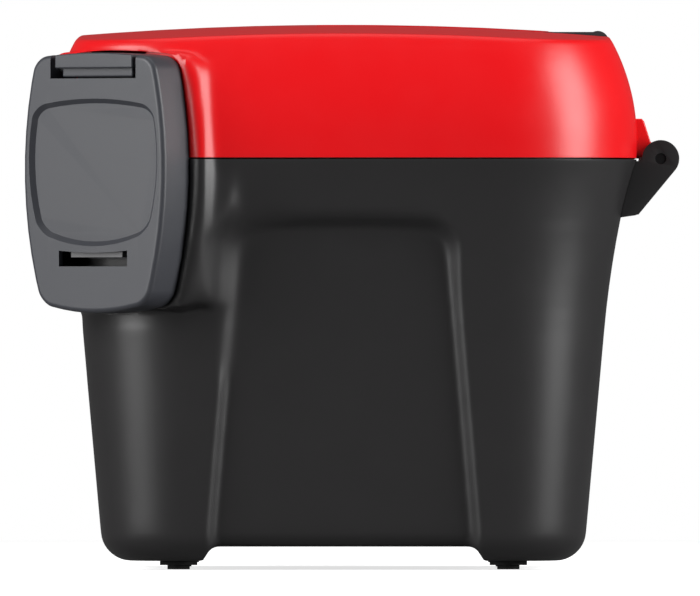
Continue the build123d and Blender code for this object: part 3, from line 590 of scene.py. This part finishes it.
form = skinGrid()
print("skin grid", len(form.data.polygons), [round(v * 1000, 1) for v in form.dimensions])
bosses = [latchBoss(side) for side in (-1, 1)]
pressForm(form, frame["nodes"]["bin_body"], frame["nodes"]["lid_shell"], bosses)
for boss in bosses:
    bpy.data.objects.remove(boss)
blendGroup(form)
shaped(form, "SMOOTH", factor=0.5, iterations=skin["blendSoften"], vertex_group="flank")
shaped(form, "SMOOTH", factor=0.5, iterations=skin["soften"])
form.vertex_groups.clear()
hollow = duplicate(form, "binHollow")
shaped(hollow, "SMOOTH", factor=0.5, iterations=skin["hollowSoften"])
shaped(hollow, "DISPLACE", strength=-skin["wall"] * mm, mid_level=0.0, direction="NORMAL")

binBody = cutAt(duplicate(form, "binBody"), skin["bodyTop"], True)
combine(binBody, cutAt(duplicate(hollow, "bodyHollow"), skin["bodyTop"] + 3, True), "DIFFERENCE")
for side in (-1, 1):
    combine(binBody, latchPocket(side), "DIFFERENCE", "FAST")
finish(binBody, "bin", "body_black", "bin_body", angle=40)
print("body", len(binBody.data.polygons))

# lid: tray for the handle, lugs for the hinges

lid = dict(
    channelLow=229.5, fingerLow=221.0, armY=48.0, armRoom=7.0, front=-12.0, gripFront=105.65,
    fingerFront=92.0, fingerHalf=36.0,
    lugHalf=6.0, lugEdge=0.7, hingeX=142.0, hingeY=64.0, hingeZ=183.8, barrelR=8.3, pinRoom=2.55,
)


def channelSpace(name, grow):
    half = lid["armRoom"] + grow
    low = lid["channelLow"] - grow
    pieces = []
    for side in (-1, 1):
        across = sorted((side * lid["armY"] - half, side * lid["armY"] + half))
        pieces.append(block(name, (lid["front"] - grow, 170), across, (low, 262)))
    reach = lid["armY"] + half
    pieces.append(block(name + "Grip", (lid["gripFront"] - grow, 170.5), (-reach, reach), (low, 262.5)))
    reach = lid["fingerHalf"] + grow
    low = lid["fingerLow"] - grow
    pieces.append(block(name + "Finger", (lid["fingerFront"] - grow, 171), (-reach, reach), (low, 263)))
    space = pieces[0]
    for other in pieces[1:]:
        combine(space, other, "UNION")
    return space


def lidLug(side):
    # a web from the back wall down to the knuckle on the pin
    x, z, r = lid["hingeX"], lid["hingeZ"], lid["barrelR"]
    outline = [(128.0, 201.7), (133.5, 201.7), (134.6, 200.6), (137.7, 190.9)]
    outline += [(x + r * cos(radians(a)), z + r * sin(radians(a))) for a in range(60, -166, -15)]
    outline += [(x - r * cos(radians(5)), z + r * sin(radians(5))), (128.0, 184.2)]
    start = (binX + outline[0][0], side * lid["hingeY"] - lid["lugHalf"], outline[0][1])
    moves = [(x1 - x0, 0, z1 - z0) for (x0, z0), (x1, z1) in zip(outline, outline[1:])]
    piece = drawn("hingeLug", start, moves)
    bpy.ops.mesh.edge_face_add()
    drag(0, 2 * lid["lugHalf"], 0)
    bpy.ops.mesh.select_all(action="SELECT")
    bpy.ops.mesh.normals_make_consistent(inside=False)
    bpy.ops.object.mode_set(mode="OBJECT")
    bevelled(piece, lid["lugEdge"], 3, 50)
    bpy.ops.object.select_all(action="DESELECT")
    bpy.ops.mesh.primitive_cylinder_add(vertices=32, radius=lid["pinRoom"] * mm, depth=30 * mm,
                                        rotation=(radians(90), 0, 0),
                                        location=((binX + x) * mm, side * lid["hingeY"] * mm, z * mm))
    return combine(piece, bpy.context.object, "DIFFERENCE")


lidShell = cutAt(form, skin["lidLow"], False)
lidShell.name = "lidShell"
lidHollow = cutAt(hollow, skin["lidLow"] - 3, False)
combine(lidHollow, channelSpace("tray", skin["wall"]), "DIFFERENCE", "FAST")
for side in (-1, 1):
    combine(lidShell, lidLug(side), "UNION")
for side in (-1, 1):
    combine(lidShell, latchPocket(side), "DIFFERENCE", "FAST")
combine(lidShell, channelSpace("channelCut", 0.0), "DIFFERENCE", "FAST")
combine(lidShell, lidHollow, "DIFFERENCE", "FAST")
finish(lidShell, "lid", "lid_red", "lid_shell", angle=40)
print("lid", len(lidShell.data.polygons))

# latches: each has a lever on its own pin and a keeper fixed to the lid

leverSizes = dict(
    round=2.3, backEdge=0.4, hollowCorner=4.0, hollowTop=216.0, heelR=10.2,
    shieldCornerTop=9.0, shieldCornerLow=15.0, recess=1.9, recessWall=2.1,
    slotHalf=20.0, slotLow=135.5, slotHigh=141.6, notchHalf=25.0, notchLow=219.4,
)


def latchBlock(name, across, reach, height):
    # a block in the latch's own plane
    piece = block(name, across, reach, height)
    piece.data.transform(Matrix.Translation((-binX * mm, 0, 0)))
    return piece


def pickFace(piece, face):
    pick(piece, lambda f: abs(f.center.y + face * mm) < 1e-6)


def leverShape():
    # hollow cover with a rounded face, a blank shield recess, a slot over the hook and a notch for the keeper
    sizes = leverSizes
    back, face = latch["back"], latch["face"]
    lever = prism("lever", latchOutline(), back, face, latch["corner"], latch["corner"])
    pickFace(lever, face)
    bpy.ops.mesh.bevel(offset=sizes["round"] * mm, segments=5)
    bpy.ops.object.mode_set(mode="OBJECT")
    bevelled(lever, sizes["backEdge"], 2, 60)
    corner = sizes["hollowCorner"]
    outline = latchOutline(-latch["wall"])
    inside = prism("leverHollow", outline, back - 2, face - latch["skin"], corner, corner)
    combine(inside, latchBlock("leverTop", (-60, 60), (-90, -20), (sizes["hollowTop"], 240)), "DIFFERENCE")
    combine(lever, inside, "DIFFERENCE")
    # the ears' backs are rounded about the pin
    heel = latchBlock("heel", (-60, 60), (-latch["pinN"], -20), (latch["pinZ"], 250))
    combine(heel, rod("heelRound", sizes["heelR"], 140, 48), "DIFFERENCE")
    combine(lever, heel, "DIFFERENCE")
    shield = shieldOutline(34.6, 207.0, 210.4, 37.6, 181.0, 32.0, 151.0, 144.5)
    recess = prism("recess", shield, face + 1.0, face, sizes["shieldCornerTop"], sizes["shieldCornerLow"])
    pickFace(recess, face)
    bpy.ops.mesh.inset(thickness=sizes["recessWall"] * mm, depth=sizes["recess"] * mm)
    bpy.ops.mesh.select_all(action="SELECT")
    bpy.ops.mesh.normals_make_consistent(inside=False)
    bpy.ops.object.mode_set(mode="OBJECT")
    combine(lever, recess, "DIFFERENCE")
    half, low, high = sizes["slotHalf"], sizes["slotLow"], sizes["slotHigh"]
    slot = arcThrough((-half, high + 1), (0, high), (half, high + 1), 8)
    slot += [(half, high + 1), (half, low), (-half, low)]
    combine(lever, prism("slot", slot, face + 2, face - latch["skin"] - 1.5), "DIFFERENCE")
    half = sizes["notchHalf"]
    notch = latchBlock("notch", (-half, half), (-90, -20), (sizes["notchLow"], 240))
    return combine(lever, notch, "DIFFERENCE")


def rod(name, radius, length, sides):
    bpy.ops.object.select_all(action="DESELECT")
    bpy.ops.mesh.primitive_cylinder_add(vertices=sides, radius=radius * mm, depth=length * mm,
                                        rotation=(0, radians(90), 0),
                                        location=(0, -latch["pinN"] * mm, latch["pinZ"] * mm))
    bpy.context.object.name = name
    return bpy.context.object


keeperSizes = dict(
    half=22.7, low=208.0, plate=2.5, knuckleHalf=20.6, knuckleLow=220.0, knuckleHigh=229.0, knuckleFace=61.4,
    knuckleEdge=0.9, barLow=223.9, barEdge=0.8, barGap=0.1, sideGap=0.2,
)


def rectangle(half, low, high):
    return [(-half, low), (half, low), (half, high), (-half, high)]


def keeperShape():
    # plate on the pad, with the bar that closes the lever's notch and the knuckle below it
    sizes = keeperSizes
    pad, face = latch["pad"], latch["face"]
    piece = prism("keeper", rectangle(sizes["half"], sizes["low"], latch["pinZ"]), pad, pad + sizes["plate"])
    outline = rectangle(sizes["knuckleHalf"], sizes["knuckleLow"], sizes["knuckleHigh"])
    knuckle = prism("knuckle", outline, pad, sizes["knuckleFace"])
    bevelled(knuckle, sizes["knuckleEdge"], 3, 30)
    combine(piece, knuckle, "UNION")
    bar = prism("keeperBar", rectangle(sizes["half"], sizes["barLow"], 240.0), pad, face - sizes["barGap"])
    limit = prism("keeperLimit", latchOutline(-sizes["sideGap"]), pad - 1, face + 1)
    combine(bar, limit, "INTERSECT")
    bevelled(bar, sizes["barEdge"], 3, 40)
    return combine(piece, bar, "UNION")


def flatShaded(piece):
    # broad faces keep their own direction beside rounded edges
    only(piece)
    bpy.ops.object.shade_smooth_by_angle(angle=radians(32))
    return shaped(piece, "WEIGHTED_NORMAL", keep_sharp=True)


lever = leverShape()
keeper = keeperShape()
for side, place in ((-1, "near"), (1, "far")):
    cover = ontoCorner(duplicate(lever, "latchLever_" + place), side)
    finish(cover, "lever_" + place, "latch_grey", "latch_" + place, angle=32)
    flatShaded(cover)
    stand = ontoCorner(duplicate(keeper, "latchKeeper_" + place), side)
    finish(stand, "lid", "latch_grey", "keeper_" + place, angle=32)
    flatShaded(stand)
bpy.data.objects.remove(lever)
bpy.data.objects.remove(keeper)
print("latches")

# smaller mouldings, with their edges broken

edges = dict(bracket=0.8, bail=1.2, segments=3, angle=32, flatten=3.0)


def brokenEdges(node, name, body, slot, width):
    piece = nodeCopy(node, name)
    angle = edges["angle"]
    shaped(piece, "DECIMATE", decimate_type="DISSOLVE", angle_limit=radians(edges["flatten"]))
    bevelled(piece, width, edges["segments"], angle)
    return finish(piece, body, slot, node, angle=angle)


for place in ("near", "far"):
    brokenEdges("hinge_bracket_" + place, "hingeBracket_" + place, "bin", "body_black", edges["bracket"])
brokenEdges("handle_bail", "handleBail", "handle", "handle_black", edges["bail"])
print("small pieces ready")

# floor, lights and camera


look = dict(floor=1.6, seen=0.72, bounce=0.22)


def makeStage():
    bpy.ops.object.select_all(action="DESELECT")
    bpy.ops.mesh.primitive_plane_add(size=look["floor"] * 2, location=(0, 0, -0.0002))
    floor = bpy.context.object
    floor.name = "studioFloor"
    material = bpy.data.materials.new("paleFloor")
    material.use_nodes = True
    tree = material.node_tree
    shader = tree.nodes["Principled BSDF"]
    shader.inputs["Base Color"].default_value = (look["bounce"],) * 3 + (1,)
    shader.inputs["Roughness"].default_value = 0.9
    shader.inputs["Specular IOR Level"].default_value = 0.1
    bright = tree.nodes.new("ShaderNodeBsdfDiffuse")
    bright.inputs["Color"].default_value = (0.9, 0.9, 0.9, 1)
    glow = tree.nodes.new("ShaderNodeEmission")
    glow.inputs["Strength"].default_value = look["seen"]
    both = tree.nodes.new("ShaderNodeAddShader")
    tree.links.new(bright.outputs[0], both.inputs[0])
    tree.links.new(glow.outputs[0], both.inputs[1])
    seen = tree.nodes.new("ShaderNodeLightPath")
    chooser = tree.nodes.new("ShaderNodeMixShader")
    tree.links.new(seen.outputs["Is Camera Ray"], chooser.inputs[0])
    tree.links.new(shader.outputs[0], chooser.inputs[1])
    tree.links.new(both.outputs[0], chooser.inputs[2])
    tree.links.new(chooser.outputs[0], tree.nodes["Material Output"].inputs["Surface"])
    floor.data.materials.append(material)


def areaLight(name, size, place, target, power):
    data = bpy.data.lights.new(name, "AREA")
    data.shape = "RECTANGLE"
    data.size, data.size_y = size
    data.energy = power
    light = bpy.data.objects.new(name, data)
    light.location = place
    light.rotation_euler = (Vector(target) - Vector(place)).to_track_quat("-Z", "Y").to_euler()
    bpy.context.collection.objects.link(light)


makeStage()
lights = dict(
    softLeft=((0.8, 1.3), (-1.25, -0.75, 0.55), 27.0), softRight=((0.7, 1.3), (1.3, -0.6, 0.55), 28.0),
    softTop=((1.2, 1.2), (0, 0, 1.5), 4.5),
)
aim = (0, 0, 0.12)
ambientLevel = 0.10
for name, (size, place, power) in lights.items():
    areaLight(name, size, place, aim, power)

bpy.context.scene.view_settings.view_transform = "Standard"
world = bpy.data.worlds.new("paleStudio")
bpy.context.scene.world = world
world.use_nodes = True
tree = world.node_tree
ambient = tree.nodes["Background"]
ambient.inputs[0].default_value = (1, 1, 1, 1)
ambient.inputs[1].default_value = ambientLevel
backdrop = tree.nodes.new("ShaderNodeBackground")
backdrop.inputs[0].default_value = (1, 1, 1, 1)
pathNode = tree.nodes.new("ShaderNodeLightPath")
chooser = tree.nodes.new("ShaderNodeMixShader")
tree.links.new(pathNode.outputs["Is Camera Ray"], chooser.inputs[0])
tree.links.new(ambient.outputs[0], chooser.inputs[1])
tree.links.new(backdrop.outputs[0], chooser.inputs[2])
tree.links.new(chooser.outputs[0], tree.nodes["World Output"].inputs["Surface"])

# the camera looks level along +Y from far off, so that upright edges stay upright
view = dict(wide=315.0, aimX=-0.575, aimZ=121.41, distance=14.0, sensor=36.0, farClip=60.0)
lens = bpy.data.cameras.new("frontCamera")
lens.sensor_width = view["sensor"]
lens.lens = view["sensor"] * view["distance"] / (view["wide"] * mm)
lens.clip_end = view["farClip"]
camera = bpy.data.objects.new("frontCamera", lens)
camera.location = (view["aimX"] * mm, -view["distance"], view["aimZ"] * mm)
camera.rotation_euler = (radians(90), 0, 0)
bpy.context.collection.objects.link(camera)
bpy.context.scene.camera = camera
print("stage ready")
